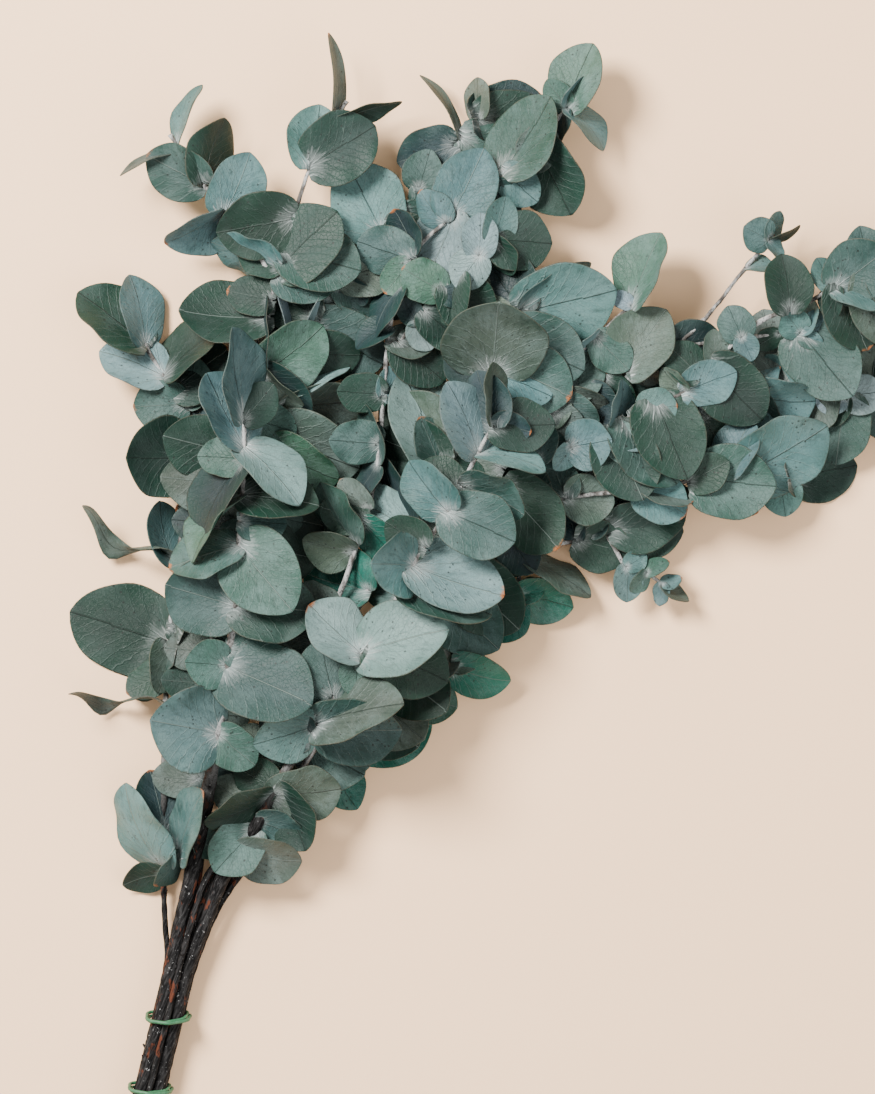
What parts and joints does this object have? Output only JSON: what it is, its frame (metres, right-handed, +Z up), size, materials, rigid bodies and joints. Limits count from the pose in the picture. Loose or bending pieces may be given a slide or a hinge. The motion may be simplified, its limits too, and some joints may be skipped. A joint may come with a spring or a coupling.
{
  "type": "eucalyptus bunch",
  "caption": "A tied bunch of preserved silver-dollar eucalyptus stems lying flat, with round grey-green leaves in pairs and bare dark stem ends held by rubber bands.",
  "frame": {"origin": "centre of the bunch's outline on the surface that it lies on", "axes": "+Y runs from the cut stem ends to the leaf tips, +X to the right as seen from above, +Z up from the surface"},
  "size_m": [0.5, 0.6322, 0.0808],
  "materials": {
    "leaf": "matte waxy grey-green leaf with a pale bloom",
    "bark": "dark brown bark, peeling in reddish patches, grey on the thin upper stems",
    "rubber_band": "satin mid-green rubber"
  },
  "bodies": {
    "root": {"stem_left_front": "leaf", "stem_centre_low": "leaf", "stem_left_side": "leaf", "stem_upper_left": "leaf", "stem_top_middle": "leaf", "stem_top_right": "leaf", "stem_centre_round": "leaf", "stem_front_centre": "leaf", "stem_low_right": "leaf", "stem_right_upper": "leaf", "stem_right_lower": "leaf", "band_upper": "rubber_band", "band_lower": "rubber_band"}
  },
  "joints": []
}
